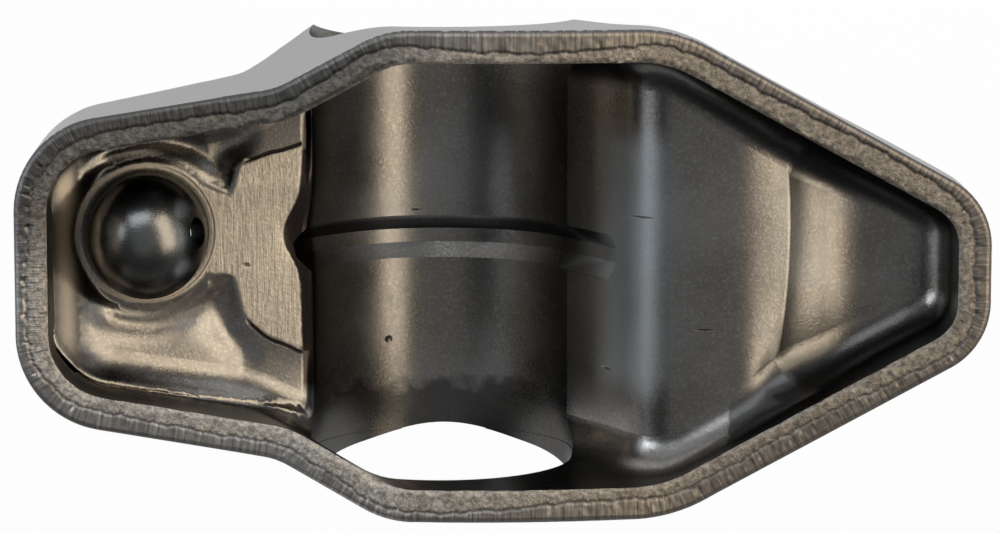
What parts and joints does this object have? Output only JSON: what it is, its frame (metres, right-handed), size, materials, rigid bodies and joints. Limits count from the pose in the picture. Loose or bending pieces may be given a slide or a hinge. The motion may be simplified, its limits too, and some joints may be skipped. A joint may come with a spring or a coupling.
{
  "type": "rocker arm",
  "caption": "Shaft-mounted rocker arm pressed from sheet steel, with a drawn push rod socket, a grooved shaft saddle and a rolled valve pad.",
  "frame": {"origin": "on the shaft bore axis, midway between the side walls", "axes": "+X towards the valve tip, +Y along the shaft, +Z out of the open side of the channel"},
  "size_m": [0.08, 0.0404, 0.0294],
  "materials": {
    "pressed_steel": "dark, oiled, as pressed, with a brighter sheared rim and bored saddle"
  },
  "bodies": {
    "root": {"rocker_arm": "pressed_steel"}
  },
  "joints": []
}
